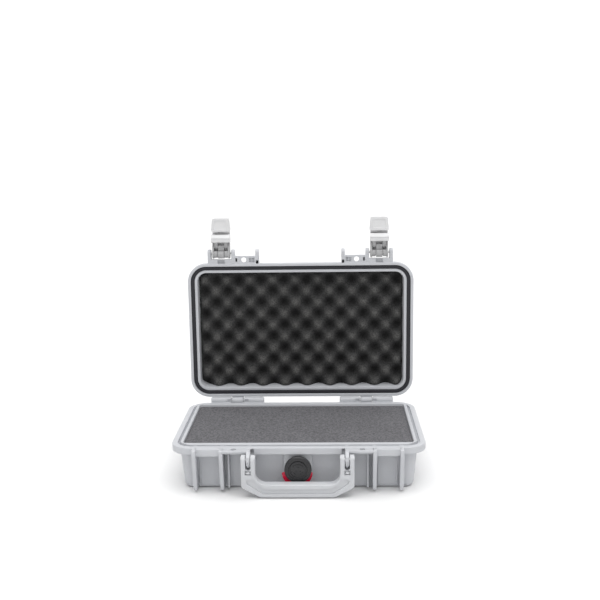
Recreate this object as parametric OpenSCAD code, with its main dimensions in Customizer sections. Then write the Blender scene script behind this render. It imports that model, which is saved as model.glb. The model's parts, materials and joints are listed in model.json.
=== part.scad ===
// Small hard carrying case: a drafted base and lid with a sealed rim, two draw latches,
// a folding front handle, a pressure relief valve and foam linings.
// Drawn with the lid standing open. Origin: centre of the base's underside.
// X runs along the width, Y from the handle to the hinges, Z up.

/* [Case] */
// Width of the rim
case_w = 292; // [262:1:350]
// Depth of the rim, without handle and hinges
case_d = 178; // [148:1:214]
// Height of the base up to its rim
base_h = 53; // [50:0.5:64]
// Height of the lid above the rim, without the stacking rails
lid_h = 41; // [34:0.5:50]
// Corner radius of the rim
corner_r = 24; // [22:0.5:30]
// Height of the rim band on each half
rim_h = 8.4; // [7:0.1:8.6]
// Overhang of the rim band over the wall below it
rim_overhang = 9.4; // [8.5:0.1:10]
// Gap left between the two rims when shut
rim_gap = 0.3; // [0.2:0.1:0.5]
// How far the walls lean in over their height
wall_lean = 3.8; // [2:0.1:4.5]
// Wall thickness below the rim
wall_t = 3.8; // [3:0.1:4.4]
// Thickness of the floor and of the lid's top
floor_t = 3.6; // [3:0.1:4.4]
// Radius of the outer bottom and top edges
edge_r = 6; // [3:0.5:7]

/* [Seal] */
// Width of the outer lip of the lid's rim
lip_w = 3.8; // [3:0.1:4.2]
// Width of the seal's channel
seal_w = 4.8; // [4:0.1:5]
// Depth of the seal's channel
seal_depth = 3.4; // [2.5:0.1:4]
// Depth of the inner ring behind the lip's face
ring_depth = 2; // [1.9:0.1:3]
// Width of the base's flat outer lip
base_lip_w = 6.6; // [5:0.1:7]
// Width of the drain groove beside it
groove_w = 2; // [1.5:0.1:2.4]
// Height of the base's inner ridge above its lip
ridge_h = 1.5; // [0.8:0.1:1.6]

/* [Foam] */
// Gap between foam and wall
foam_gap = 0.4; // [0.3:0.1:1]
// Thickness of the loose pad on the floor
foam_pad_t = 8; // [4:0.5:12]
// Depth of the foam's top below the ridge
foam_drop = 2.6; // [1:0.1:6]
// Depth of the lid foam's peaks behind the lip
lid_foam_drop = 6; // [5.5:0.5:10]

/* [Hinges] */
// Gap between the knuckles and the rims
hinge_clear = 0.5; // [0.4:0.1:2]
// Height of the hinge axis above the base's rim
hinge_up = 1.3; // [1:0.1:2]
// Radius of a hinge knuckle
knuckle_r = 4.6; // [4:0.1:4.7]
// Radius of a hinge pin
hinge_pin_r = 2; // [1.5:0.1:2.4]
// Distance of each hinge's middle from the case's middle
hinge_x = 85; // [75:1:88]
// Length of one hinge
hinge_len = 70; // [56:1:76]
// Length of the lid's knuckle
lid_knuckle_len = 15; // [12:0.5:20]
// Gap on each side of the lid's knuckle
knuckle_slot = 0.6; // [0.4:0.1:1.2]

/* [Latches] */
// Distance of each latch's middle from the case's middle
latch_x = 101.8; // [96:0.1:106]
// Gap between the lever and each guard rib
latch_clear = 1; // [0.6:0.1:1.6]
// Thickness of the guard ribs
rib_t = 4.4; // [3:0.1:5]
// Width of the lever
lever_w = 24.2; // [22:0.1:24.4]
// Length of the lever from its pivot
lever_len = 45.4; // [42:0.2:48]
// Reach of the latch pivot beyond the rim
latch_reach = 13; // [13:0.1:15]
// Height of the latch pivot above the base's rim
latch_up = 5.6; // [5.5:0.1:7]
// Radius of the latch pins
latch_pin_r = 1.5; // [1.2:0.1:1.8]
// Distance from the pivot to the hook's bearing face
hook_from = 14.8; // [14:0.1:16]
// Length of the hook's cross bar along the lever
hook_len = 9.7; // [8:0.1:11]
// Reach of the hook towards the base
hook_reach = 9.9; // [9.6:0.1:11]
// Distance from the lever's pivot to the hook's pivot
hook_pivot = 8.6; // [8:0.1:9.4]

/* [Handle] */
// Distance of each handle arm's middle from the case's middle
arm_x = 55.4; // [50:0.2:60]
// Width of a handle arm
arm_w = 16; // [14:0.2:18]
// Thickness of the handle, front to back
handle_t = 11.5; // [9:0.1:12]
// Height of the handle's bar
bar_h = 15.4; // [11:0.1:18]
// Gap between the arms' ends and the padlock plates above them
arm_clear = 0.3; // [0.3:0.1:1.5]
// Clear space under the hanging handle
handle_clear = 0.6; // [0.3:0.1:3]
// Gap between the handle and the unscrewed valve knob
knob_clear = 0.76; // [0.5:0.02:2]
// Thickness of the lug in each arm's fork
lug_t = 4.5; // [3:0.1:5]
// Gap on each side of a lug
lug_gap = 0.8; // [0.3:0.05:1]
// Radius of the handle pins
handle_pin_r = 1.8; // [1.2:0.1:2]
// Depth of the grip's front channel
grip_cut = 1.8; // [1:0.1:3]

/* [Padlock plates] */
// Distance of each padlock hole from the case's middle
padlock_x = 72.6; // [70:0.2:74]
// Distance of the hole's centre beyond the rim
padlock_reach = 4.6; // [4.4:0.1:5]
// Radius of the padlock holes
padlock_r = 3.3; // [2.5:0.1:3.5]
// Thickness of the padlock plates
plate_t = 3; // [2:0.1:4]
// Reach of the plates beyond the rim
plate_reach = 9.9; // [9:0.1:11]

/* [Valve] */
// Height of the valve's axis above the underside
valve_z = 28; // [25:0.5:30]
// Radius of the valve's knob
knob_r = 15.5; // [12:0.1:16]
// Thickness of the valve's knob
knob_t = 5.2; // [4:0.1:5.4]
// Width of the square pad behind the valve
valve_pad_w = 32; // [30:0.5:36]
// Radius of the valve's barrel
barrel_r = 6; // [5:0.1:7]
// Radius of the stem
stem_r = 2.5; // [2:0.1:3]

/* [Hidden] */
$fn = 48;

SHELL = "lightgray";
STEEL = "silver";
FOAM = "dimgray";
BLACK = "#202022";

// Sides: left is -1, right is +1
LEFT = -1;
RIGHT = 1;
press = 0.02;    // interference of a pressed pin, on the radius
running = 0.05;  // clearance of a turning pin, on the radius
apart = 0.3;     // clearance between parts that only pass each other
sink = 1.5;      // how deep a rib is rooted in the wall behind it
chamfer = 1.2;   // broken edges of the rims
set_back = 0.4;  // ribs and plates stand back from the face of their own rim
inner_lean = wall_lean * 0.8;  // lean of the inner walls over their height
floor_fillet = 1.5;            // where the inner walls meet the floor and the lid's top
rib_foot = 3;                  // height where the front's ribs run into the wall

front = -case_d / 2;
ridge_top = base_h + ridge_h;
band_z = base_h - rim_h;
inner_inset = rim_overhang + wall_t + 0.7;
// The base's inside has tighter corners than its outside: inset of their centre lines
cavity_c = inner_inset + inner_lean + floor_fillet + 0.3;
groove_floor = base_h - 2.4;
hinge_y = case_d / 2 + hinge_clear + knuckle_r;
hinge_z = base_h + hinge_up;
lid_z = base_h + rim_gap;
lid_top = lid_z + lid_h;
ring_inset = lip_w + seal_w;
lid_inner_inset = rim_overhang + wall_t - 0.9;
latch_bay_w = lever_w + 2 * latch_clear;
latch_y = front - latch_reach;
latch_z = base_h + latch_up;
handle_pivot_z = base_h - set_back - plate_t - arm_clear - handle_t / 2;
catch_z = latch_z - hook_from + apart;
catch_y = latch_y + hook_reach - 1.5;
rail_h = 1.7;
rail_w = 8;
rail_gap = 0.5;

// Inset of the base wall's outer face from the rim's outline, at height z
function base_wall(z) = rim_overhang + wall_lean * (band_z - z) / band_z;
// The same for the lid, at height z above the lid's lip
function lid_wall(z) = rim_overhang + wall_lean * (z - rim_h) / (lid_h - rim_h);

// The valve, from its pad outwards: washer, flange, collar and knob, then the handle's back
stem_travel = 1.2;
washer_t = 1;
flange_t = 1.8;
flange_r = barrel_r + 7;
collar_t = 2;
nut_t = 2.5;
nut_r = barrel_r + 4;
valve_pad_y = front + base_wall(valve_z) - 6;
nut_y = front + inner_inset + 0.5;
flange_y = valve_pad_y - washer_t;
knob_y = flange_y - flange_t - collar_t - apart;
handle_y = min(knob_y - knob_t - stem_travel - knob_clear, front - 6) - handle_t / 2;

// Points of an arc round c, from angle a to angle b
function arc(c, r, a, b, n = 5) =
    [for (i = [0:n]) let (t = a + (b - a) * i / n) c + r * [cos(t), sin(t)]];

// Sweeps a profile round the case's outline: x in the profile is measured outwards from the
// corner's centre line, which is c inside the outline, and y is the height
module around_case(c = corner_r) {
    for (turn = [[0, case_w, case_d], [90, case_d, case_w],
                 [180, case_w, case_d], [270, case_d, case_w]])
        rotate([0, 0, turn[0]])
        translate([0, turn[2] / 2 - c, 0]) {
            translate([turn[1] / 2 - c, 0, 0])
                rotate_extrude(angle = 90)
                children();
            translate([-turn[1] / 2 + c, 0, 0])
                rotate([90, 0, 90])
                linear_extrude(turn[1] - 2 * c)
                children();
        }
}

// Turns [inset from the outline, height] into the profile's own coordinates
function inward(points, c = corner_r) = [for (p = points) [c - p[0], p[1]]];

// A block that fills the middle of the case between its corner centres
module core_block(z, h, c = corner_r) {
    translate([-case_w / 2 + c, -case_d / 2 + c, z])
        cube([case_w - 2 * c, case_d - 2 * c, h]);
}

// Extrudes an outline drawn in Y and Z along X, from x0 to x1
module along_x(x0, x1) {
    translate([x0, 0, 0])
        rotate([90, 0, 90])
        linear_extrude(x1 - x0)
        children();
}

// A cylinder along X
module rod_x(x0, x1, r) {
    translate([x0, 0, 0])
        rotate([0, 90, 0])
        cylinder(h = x1 - x0, r = r);
}

// A cylinder along Y, from y0 to y1
module rod_y(y0, y1, r) {
    translate([0, y1, 0])
        rotate([90, 0, 0])
        cylinder(h = y1 - y0, r = r);
}

// Draws the children on both sides of the case
module both_sides() {
    children();
    mirror([1, 0, 0]) children();
}

// Puts what is drawn on the closed case into the open lid's place
module lid_open() {
    translate([0, hinge_y, hinge_z])
        rotate([-90, 0, 0])
        translate([0, -hinge_y, -hinge_z])
        children();
}

// ---- base ----

// The base's outside: wall, rim, drain groove and ridge, as one section
module base_section() {
    lean_bottom = base_wall(0);
    polygon(inward(concat(
        [[corner_r, 0]],
        [for (p = arc([lean_bottom + edge_r, edge_r], edge_r, 270, 180)) p],
        [[rim_overhang, band_z - 1],
         [rim_overhang - 1, band_z],
         [chamfer, band_z],
         [0, band_z + chamfer],
         [0, base_h - chamfer],
         [chamfer, base_h],
         [base_lip_w, base_h],
         [base_lip_w + 0.3, groove_floor],
         [base_lip_w + groove_w, groove_floor],
         [base_lip_w + groove_w + 0.4, ridge_top - 0.8],
         [base_lip_w + groove_w + 1.2, ridge_top],
         [corner_r, ridge_top]])));
}

// The base's inside, cut out of it
module base_cavity() {
    around_case(cavity_c)
        polygon(inward([[cavity_c, floor_t],
                        [inner_inset + inner_lean + floor_fillet, floor_t],
                        [inner_inset + inner_lean, floor_t + floor_fillet],
                        [inner_inset, ridge_top - 0.8],
                        [inner_inset - 0.8, ridge_top],
                        [inner_inset - 0.8, ridge_top + 1],
                        [cavity_c, ridge_top + 1]], cavity_c));
    core_block(floor_t, ridge_top + 1 - floor_t, cavity_c);
}

// A guard rib of the latch bay on the base's front
module base_rib(x0) {
    along_x(x0, x0 + rib_t)
        polygon([[front + base_wall(base_h) + sink, base_h - set_back],
                 [front - plate_reach + 1, base_h - set_back],
                 [front - plate_reach, base_h - set_back - 1],
                 [front - plate_reach, band_z - 1],
                 [front - 3, edge_r],
                 [front - 1, rib_foot],
                 [front + base_wall(rib_foot) + sink, rib_foot]]);
}

// The ledge that the latch hook pulls on, between the guard ribs
module catch_ledge() {
    along_x(latch_x - latch_bay_w / 2 - sink, latch_x + latch_bay_w / 2 + sink)
        polygon([[front + rim_overhang + sink, catch_z],
                 [catch_y + 0.6, catch_z],
                 [catch_y, catch_z + 0.6],
                 [catch_y, base_h - set_back - 1],
                 [catch_y + 1, base_h - set_back],
                 [front + 4, base_h - set_back],
                 [front + 4, band_z + 2],
                 [front + rim_overhang + sink, band_z + 2]]);
}

// The lug that carries one handle arm; its tip hangs below the pin, into the arm's fork
lug_drop = 9;
module handle_lug() {
    nose_r = handle_t / 2 - 1;
    along_x(arm_x - lug_t / 2, arm_x + lug_t / 2)
        polygon(concat(
            [[front + base_wall(band_z) + sink, base_h - 0.5],
             [front - plate_reach + 1, base_h - 0.5],
             [handle_y - nose_r + 0.4, handle_pivot_z + 4]],
            [for (p = arc([handle_y, handle_pivot_z], nose_r, 170, 215)) p],
            [[handle_y - 2.6, handle_pivot_z - lug_drop + 1.4],
             [handle_y - 1, handle_pivot_z - lug_drop],
             [handle_y + 6, handle_pivot_z - lug_drop + 0.8],
             [front + base_wall(22) + sink, 22]]));
}

// A padlock plate with its hole, on either half, with its underside at z. Its root stops
// inside the rim's outer lip, short of the seal's channel.
plate_root = lip_w - 0.6;
module padlock_plate(z) {
    inner_x = arm_x - lug_t / 2;
    outer_x = latch_x - latch_bay_w / 2 - rib_t + sink;
    difference() {
        translate([inner_x, front - plate_reach, z])
            cube([outer_x - inner_x, plate_reach + plate_root, plate_t]);
        translate([padlock_x, front - padlock_reach, z - 1])
            cylinder(h = plate_t + 2, r = padlock_r);
    }
}

pocket_w = 6.5;

// The base's two knuckles of one hinge
module base_knuckles() {
    gap = lid_knuckle_len / 2 + knuckle_slot;
    for (span = [[-hinge_len / 2, -gap], [gap, hinge_len / 2]])
        difference() {
            union() {
                along_x(hinge_x + span[0], hinge_x + span[1])
                    polygon([[case_d / 2 - 5, band_z + 1.5],
                             [hinge_y - 2, band_z + 2.5],
                             [hinge_y + knuckle_r * 0.7, hinge_z - knuckle_r * 0.6],
                             [hinge_y, hinge_z],
                             [case_d / 2 - 4, base_h - 0.5]]);
                translate([0, hinge_y, hinge_z])
                    rod_x(hinge_x + span[0], hinge_x + span[1], knuckle_r);
            }
            translate([0, hinge_y, hinge_z])
                rod_x(hinge_x + span[0] - 1, hinge_x + span[1] + 1, hinge_pin_r - press);
            // Moulding pocket in the front of the knuckle, beside the lid's one
            translate([hinge_x + (span[0] < 0 ? -gap - pocket_w : gap),
                       hinge_y - knuckle_r - 1, hinge_z - 2.2])
                cube([pocket_w - 1.2, knuckle_r + 1 - hinge_pin_r - 0.6, 4.4]);
        }
}

lug_notch_w = 3.4;

// The square pad that the valve sits on, and its bore
module valve_pad() {
    pad_foot = 8;
    translate([-valve_pad_w / 2, valve_pad_y, pad_foot])
        cube([valve_pad_w, 9, band_z + 1 - pad_foot]);
}
module valve_cut() {
    translate([0, 0, valve_z]) {
        rod_y(valve_pad_y - 1, nut_y + 8, barrel_r + 0.1);
        rod_y(nut_y - nut_t, nut_y + 8, nut_r + 1);
    }
}

// Long rails on the lid, and the slots in the base that they stack into
rail_y = case_d / 2 - 40;
rail_x = case_w / 2 - 112;
rail_len = 68;
module rails(z, h, w) {
    both_sides()
        for (side = [-1, 1])
            translate([rail_x - w / 2, side * rail_y - w / 2, z])
            cube([rail_len + w, w, h]);
}

module base_shell() {
    color(SHELL)
    difference() {
        union() {
            around_case() base_section();
            core_block(0, ridge_top);
            both_sides() {
                base_rib(latch_x + latch_bay_w / 2);
                base_rib(latch_x - latch_bay_w / 2 - rib_t);
                catch_ledge();
                padlock_plate(base_h - set_back - plate_t);
                handle_lug();
                base_knuckles();
                // Thin stiffening rib under the padlock plate
                along_x(padlock_x + 5.5, padlock_x + 7.5)
                    polygon([[front + base_wall(base_h) + sink, base_h - 2],
                             [front + 1, base_h - 2],
                             [front + 4, rib_foot + 1],
                             [front + base_wall(rib_foot + 1) + sink, rib_foot + 1]]);
            }
            valve_pad();
        }
        base_cavity();
        valve_cut();
        both_sides() {
            translate([0, handle_y, handle_pivot_z])
                rod_x(arm_x - lug_t, arm_x + lug_t, handle_pin_r - press);
            // Notch in the rim band, on the inner side of the lug
            translate([arm_x - lug_t / 2 - lug_notch_w, front - 1, band_z - 1])
                cube([lug_notch_w, 4, rim_h - 0.6]);
        }
        rails(-1, rail_h + 1.1, rail_w + 2 * rail_gap);
    }
}

// ---- foam ----

// A block that fills the base's or lid's inside, from z0 to z1, with its edge at the given
// insets at the two heights
module foam_fill(z0, z1, inset0, inset1, c) {
    around_case(c)
        polygon(inward([[c, z0], [inset0, z0], [inset1, z1], [c, z1]], c));
    core_block(z0, z1 - z0, c);
}

function base_inner(z) =
    inner_inset + inner_lean * (ridge_top - 0.8 - z) / (ridge_top - 0.8 - floor_t - floor_fillet);
foam_split = floor_t + foam_pad_t;

module base_foam_pad() {
    low = floor_t;
    color(FOAM)
        foam_fill(low, foam_split,
                  min(base_inner(low) + foam_gap + floor_fillet, cavity_c - 0.2),
                  base_inner(foam_split) + foam_gap, cavity_c);
}

module base_foam_block() {
    top = ridge_top - foam_drop;
    color(FOAM)
        foam_fill(foam_split, top, base_inner(foam_split) + foam_gap,
                  base_inner(top) + foam_gap, cavity_c);
}

function lid_inner(z) = lid_inner_inset + inner_lean * (z - ring_depth) / (lid_h - ring_depth);

module lid_foam() {
    back = lid_h - floor_t;
    color(BLACK) lid_open()
        foam_fill(lid_z + lid_foam_drop, lid_z + back,
                  lid_inner(lid_foam_drop) + foam_gap,
                  lid_inner(back) + foam_gap + floor_fillet, corner_r);
}

// ---- lid ----

module lid_section() {
    lean_top = lid_wall(lid_h);
    inner_top = lid_inner(lid_h - floor_t);
    translate([0, lid_z])
        polygon(inward(concat(
            [[chamfer, 0],
             [lip_w, 0],
             [lip_w, seal_depth],
             [ring_inset, seal_depth],
             [ring_inset, ring_depth + 0.4],
             [ring_inset + 0.4, ring_depth],
             [lid_inner_inset - 0.4, ring_depth],
             [lid_inner_inset, ring_depth + 0.4],
             [inner_top, lid_h - floor_t - floor_fillet],
             [inner_top + floor_fillet, lid_h - floor_t],
             [corner_r, lid_h - floor_t],
             [corner_r, lid_h]],
            [for (p = arc([lean_top + edge_r, lid_h - edge_r], edge_r, 90, 180)) p],
            [[rim_overhang, rim_h + 1],
             [rim_overhang - 1, rim_h],
             [chamfer, rim_h],
             [0, rim_h - chamfer],
             [0, chamfer]])));
}

// A guard rib on the lid; its nose holds the latch pin
module lid_rib(x0, t) {
    nose_r = latch_up - rim_gap - apart;
    root_z = lid_z + rim_h - 2;
    along_x(x0, x0 + t)
        polygon(concat(
            [for (p = arc([latch_y, latch_z], nose_r, 270, 120, 10)) p],
            [[front - 2, lid_z + rim_h + 4],
             [front + lid_wall(rim_h + 8) + sink, lid_z + rim_h + 8],
             [front + rim_overhang + sink, root_z],
             [front + plate_root, root_z],
             [front + plate_root, lid_z + set_back],
             [front - 4, lid_z + set_back]]));
}

// A low step between the guard ribs, with a blind notch in its middle
module lid_step() {
    reach = 5.4;
    web_t = 2;
    notch_w = block_w + 4 * apart;
    half = latch_bay_w / 2 + sink;
    low = lid_z + 0.6;
    high = lid_z + rim_h - 1.5;
    for (part = [[-half, -notch_w / 2, low],
                 [-notch_w / 2 - sink, notch_w / 2 + sink, high - web_t],
                 [notch_w / 2, half, low]])
        along_x(latch_x + part[0], latch_x + part[1])
            polygon([[front - reach, part[2]],
                     [front + plate_root, part[2]],
                     [front + plate_root, high],
                     [front - reach + 1, high],
                     [front - reach, high - 1]]);
}

// The lid's knuckle of one hinge
module lid_knuckle() {
    x0 = hinge_x - lid_knuckle_len / 2;
    x1 = hinge_x + lid_knuckle_len / 2;
    difference() {
        union() {
            along_x(x0, x1)
                polygon([[case_d / 2 - 5, lid_z + rim_h - 1],
                         [hinge_y - 1, lid_z + rim_h - 1.5],
                         [hinge_y + knuckle_r * 0.7, hinge_z + knuckle_r * 0.6],
                         [hinge_y, hinge_z],
                         [case_d / 2 - 2, lid_z + 1.6]]);
            translate([0, hinge_y, hinge_z])
                rod_x(x0, x1, knuckle_r);
        }
        translate([0, hinge_y, hinge_z])
            rod_x(x0 - 1, x1 + 1, hinge_pin_r + running);
    }
}

// Blind slot and square pocket in the lid's padlock plate, and the boss behind the slot
rib_face = latch_x - latch_bay_w / 2 - rib_t;
slot_deep = 9;
module slot_boss() {
    translate([rib_face - 4.6, front - padlock_reach - 3.6, lid_z + set_back])
        cube([4.6 + sink, 7.2, slot_deep + 1.2]);
}
module plate_cuts() {
    translate([rib_face - 3.2, front - padlock_reach - 2.4, lid_z - 1])
        cube([2.2, 4.8, slot_deep + 1]);
    translate([arm_x + lug_t / 2 + 1, front - padlock_reach - 2.8, lid_z - 1])
        cube([7, 5.6, plate_t + 0.8]);
}

module lid_shell() {
    panel_w = case_w - 142;
    panel_d = 2 * (rail_y - 18);
    panel_deep = 0.8;
    color(SHELL) lid_open()
    difference() {
        union() {
            around_case() lid_section();
            core_block(lid_top - floor_t, floor_t);
            both_sides() {
                lid_rib(latch_x + latch_bay_w / 2, rib_t);
                lid_rib(latch_x - latch_bay_w / 2 - rib_t, rib_t);
                lid_rib(arm_x - lug_t / 2, lug_t);
                lid_step();
                padlock_plate(lid_z + set_back);
                slot_boss();
                lid_knuckle();
            }
            rails(lid_top - 1, rail_h + 1, rail_w);
        }
        both_sides() {
            plate_cuts();
            translate([0, latch_y, latch_z])
                rod_x(latch_x - latch_bay_w / 2 - rib_t - 1,
                      latch_x + latch_bay_w / 2 + rib_t + 1, latch_pin_r - press);
        }
        // Shallow blank panel on the lid's top
        translate([-panel_w / 2, -panel_d / 2, lid_top - panel_deep])
            cube([panel_w, panel_d, panel_deep + 1]);
    }
}

module lid_gasket() {
    seal_play = 0.1;
    proud = 2.2;
    color(BLACK) lid_open()
        around_case()
        translate([0, lid_z])
        polygon(inward([[lip_w + seal_play, seal_depth],
                        [lip_w + seal_play, seal_depth - proud + 0.6],
                        [lip_w + 1, seal_depth - proud],
                        [ring_inset - 1, seal_depth - proud],
                        [ring_inset - seal_play, seal_depth - proud + 0.6],
                        [ring_inset - seal_play, seal_depth]]));
}

// ---- hinge pins ----

module hinge_pin(side) {
    end_gap = 0.5;
    color(STEEL)
        translate([side * hinge_x, hinge_y, hinge_z])
        rod_x(-hinge_len / 2 + end_gap, hinge_len / 2 - end_gap, hinge_pin_r);
}

// ---- latches ----

// Puts a latch piece in its place: y runs along the latch from its pivot, z towards the base
// when the latch is shut
module on_latch(side) {
    lid_open()
        translate([side * latch_x, latch_y, latch_z])
        rotate([180, 0, 0])
        children();
}

cheek_t = 2.2;
plate_out = -4.6;
drum_r = 6.8;      // the lever's round end, about its pivot
drum_top = 3.2;
hook_arm_w = 4.6;
body_w = lever_w - 1.6;
hook_x = body_w / 2 - cheek_t - apart;
cap_from = hook_from + hook_len + 3.4;
block_w = 2 * (hook_x - hook_arm_w - apart);

module lever_cheek() {
    difference() {
        along_x(body_w / 2 - cheek_t, body_w / 2)
            polygon(concat(
                [for (p = arc([0, 0], drum_r, 230, 70, 8)) p],
                [[hook_from - 4, 2.6],
                 [hook_from - 1, 0],
                 [hook_from - 1, plate_out + 0.5],
                 [0.5, plate_out + 0.5]]));
        rod_x(0, body_w, latch_pin_r + running);
        translate([0, hook_pivot, -0.8])
            rod_x(0, body_w, latch_pin_r - press);
    }
}

module latch_lever(side) {
    skin = 2.2;
    tip_w = body_w - 1;
    color(SHELL) on_latch(side) {
        both_sides() lever_cheek();
        // Outer plate
        translate([-body_w / 2, 3, plate_out - skin])
            cube([body_w, lever_len - 8, skin + 0.6]);
        // Drum round the pivot's pin, between the cheeks
        difference() {
            along_x(cheek_t - body_w / 2 - sink, body_w / 2 - cheek_t + sink)
                polygon(concat(
                    [for (p = arc([0, 0], drum_r, 230, 75, 8)) p],
                    [[drum_top, drum_r - 1.2],
                     [drum_top, plate_out + 0.5]]));
            rod_x(-body_w, body_w, latch_pin_r + running);
        }
        // Block between the hook's arms, which the hook's pin runs through
        difference() {
            translate([-block_w / 2, 3, plate_out])
                cube([block_w, 7.4, 2.2 - plate_out]);
            translate([0, hook_pivot, -0.8])
                rod_x(-body_w, body_w, latch_pin_r - press);
        }
        // Finger end
        difference() {
            translate([0, 0, plate_out - skin - 0.6])
                linear_extrude(3.2 - plate_out + skin + 0.6)
                polygon([[-lever_w / 2, cap_from],
                         [lever_w / 2, cap_from],
                         [lever_w / 2, cap_from + 4],
                         [tip_w / 2, lever_len - 1.5],
                         [tip_w / 2 - 2, lever_len],
                         [-tip_w / 2 + 2, lever_len],
                         [-tip_w / 2, lever_len - 1.5],
                         [-lever_w / 2, cap_from + 4]]);
            translate([-lever_w, lever_len, -3])
                rotate([-20, 0, 0])
                translate([0, 0, 4.6])
                cube([2 * lever_w, 10, 10]);
        }
    }
}

module latch_hook(side) {
    eye = 2.9;
    color(SHELL) on_latch(side)
    difference() {
        union() {
            both_sides()
                along_x(hook_x - hook_arm_w, hook_x)
                polygon(concat(
                    [for (p = arc([hook_pivot, -0.8], eye, 300, 90, 8)) p],
                    [[hook_from + 1, 3.4],
                     [hook_from + 1, -3.4]]));
            // Cross bar with the bearing face
            along_x(-lever_w / 2, lever_w / 2)
                polygon([[hook_from, -3.4],
                         [hook_from, hook_reach - 0.8],
                         [hook_from + 0.8, hook_reach],
                         [hook_from + hook_len - 4, hook_reach],
                         [hook_from + hook_len, hook_reach - 5],
                         [hook_from + hook_len, -3.4]]);
        }
        translate([0, hook_pivot, -0.8])
            rod_x(-body_w, body_w, latch_pin_r + running);
    }
}

module latch_pin(side) {
    half = latch_bay_w / 2 + rib_t - 0.5;
    color(STEEL) on_latch(side)
        rod_x(-half, half, latch_pin_r);
}

module hook_pin(side) {
    half = body_w / 2 - 0.2;
    color(STEEL) on_latch(side)
        translate([0, hook_pivot, -0.8])
        rod_x(-half, half, latch_pin_r);
}

// ---- handle ----

bar_top = handle_clear + bar_h;
arm_in = arm_x - arm_w / 2;
arm_out = arm_x + arm_w / 2;
chamfer_x = 23;   // run of the handle's cut corner along the bar
chamfer_z = 12;   // rise of the cut corner up the arm
inner_round = 12; // radius of the window's lower corners
slot_bottom = handle_pivot_z - 11.8;

module handle_outline() {
    polygon(concat(
        [[arm_out, handle_pivot_z],
         [arm_out, handle_clear + chamfer_z],
         [arm_out - chamfer_x, handle_clear],
         [-arm_out + chamfer_x, handle_clear],
         [-arm_out, handle_clear + chamfer_z],
         [-arm_out, handle_pivot_z],
         [-arm_in, handle_pivot_z]],
        arc([-arm_in + inner_round, bar_top + inner_round], inner_round, 180, 270, 6),
        arc([arm_in - inner_round, bar_top + inner_round], inner_round, 270, 360, 6),
        [[arm_in, handle_pivot_z]]));
}

// Shallow channel along the grip's front, turning up into each arm
module grip_channel() {
    low = handle_clear + bar_h * 0.31;
    high = handle_clear + bar_h * 0.7;
    end = bar_top + 6.5;
    polygon([[-arm_x - 2, end],
             [-arm_x - 2, low + 12],
             [-arm_x + 16, low],
             [arm_x - 16, low],
             [arm_x + 2, low + 12],
             [arm_x + 2, end],
             [arm_x - 7.4, end],
             [arm_x - 7.4, end - 3],
             [arm_x - 18, high],
             [-arm_x + 18, high],
             [-arm_x + 7.4, end - 3],
             [-arm_x + 7.4, end]]);
}

module handle() {
    slot_w = lug_t + 2 * lug_gap;
    end_r = handle_t / 2 - 0.05;
    color(SHELL)
    difference() {
        union() {
            translate([0, handle_y + handle_t / 2, 0])
                rotate([90, 0, 0])
                linear_extrude(handle_t)
                handle_outline();
            both_sides()
                translate([0, handle_y, handle_pivot_z])
                rod_x(arm_in, arm_out, end_r);
        }
        translate([0, handle_y - handle_t / 2 + grip_cut, 0])
            rotate([90, 0, 0])
            linear_extrude(grip_cut + 1)
            grip_channel();
        both_sides() {
            translate([arm_x - slot_w / 2, handle_y - handle_t, slot_bottom + slot_w / 2])
                cube([slot_w, 2 * handle_t, 40]);
            translate([arm_x, 0, slot_bottom + slot_w / 2])
                rod_y(handle_y - handle_t, handle_y + handle_t, slot_w / 2);
            translate([0, handle_y, handle_pivot_z])
                rod_x(arm_in - 1, arm_out + 1, handle_pin_r + running);
        }
    }
}

module handle_pin(side) {
    half = arm_w / 2 - 0.4;
    color(STEEL)
        translate([side * arm_x, handle_y, handle_pivot_z])
        rod_x(-half, half, handle_pin_r);
}

// ---- valve ----

barrel_end = nut_y + 1;
head_room = stem_travel + 3;
o_ring_r = 0.8;
neck_r = stem_r - 0.6;

module at_valve() {
    translate([0, 0, valve_z]) children();
}

module valve_washer() {
    color(BLACK) at_valve()
    difference() {
        rod_y(flange_y, valve_pad_y, flange_r - 0.5);
        rod_y(flange_y - 1, valve_pad_y + 1, barrel_r + 0.05);
    }
}

module valve_body() {
    color(BLACK) at_valve()
    difference() {
        union() {
            rod_y(flange_y - flange_t, flange_y, flange_r);
            rod_y(flange_y - 1, barrel_end, barrel_r);
        }
        rod_y(flange_y - 9, barrel_end + 1, stem_r + running);
        rod_y(barrel_end - head_room, barrel_end + 1, stem_r + 2 * o_ring_r + 0.3);
    }
}

module valve_nut() {
    color(BLACK) at_valve()
    difference() {
        rod_y(nut_y - nut_t, nut_y, nut_r);
        rod_y(nut_y - nut_t - 1, nut_y + 1, barrel_r + running);
    }
}

// Crescent round the lower half of the knob
module valve_collar() {
    drop = 4.4;
    outer = knob_r + 2;
    color("crimson") at_valve()
    intersection() {
        difference() {
            translate([-1, 0, -drop])
                rod_y(flange_y - flange_t - collar_t, flange_y - flange_t, outer);
            rod_y(flange_y - 9, flange_y + 1, flange_r - 3);
        }
        translate([-2 * outer, -case_d, -outer - drop - 1])
            cube([4 * outer, case_d, outer + drop - 4]);
    }
}

module valve_stem() {
    color(BLACK) at_valve()
    union() {
        rod_y(knob_y - 1.5, barrel_end - 2.6, stem_r);
        rod_y(barrel_end - 1.1, barrel_end - 0.2, stem_r + 1);
        rod_y(barrel_end - 3, barrel_end - 0.6, neck_r);
    }
}

module valve_o_ring() {
    color(BLACK) at_valve()
        translate([0, barrel_end - 1.85, 0])
        rotate([90, 0, 0])
        rotate_extrude()
        translate([neck_r + o_ring_r * 0.8, 0])
        circle(r = o_ring_r * 0.75);
}

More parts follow.
